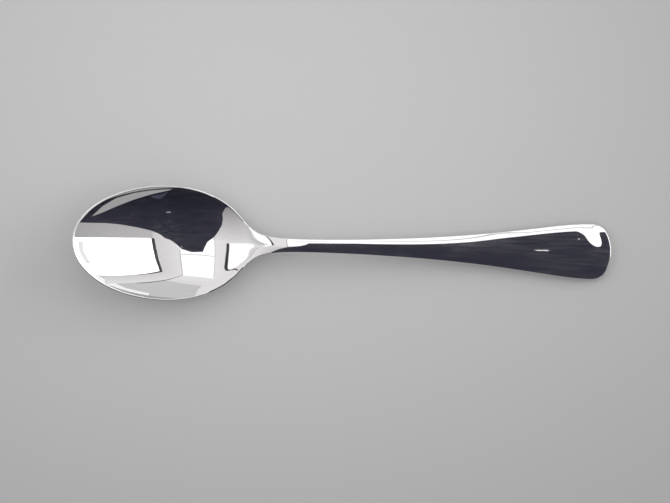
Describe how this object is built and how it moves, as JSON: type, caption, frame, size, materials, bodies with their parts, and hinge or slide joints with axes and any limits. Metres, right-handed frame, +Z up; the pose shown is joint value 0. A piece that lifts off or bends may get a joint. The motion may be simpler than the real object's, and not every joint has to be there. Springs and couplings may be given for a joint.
{
  "type": "teaspoon",
  "caption": "Plain polished metal teaspoon with an oval bowl tipped back, a slim stem and a wide rounded end, lying open upwards.",
  "frame": {"origin": "on the table, under the middle of the spoon's length and width", "axes": "+X from the bowl's tip to the handle's end, +Y across the spoon, +Z up out of the open bowl"},
  "size_m": [0.14, 0.03, 0.0162],
  "materials": {
    "polished_metal": "mirror polish with fine hairlines along the spoon"
  },
  "bodies": {
    "root": {"bowl": "polished_metal", "neck": "polished_metal", "stem": "polished_metal", "terminal": "polished_metal"}
  },
  "joints": []
}
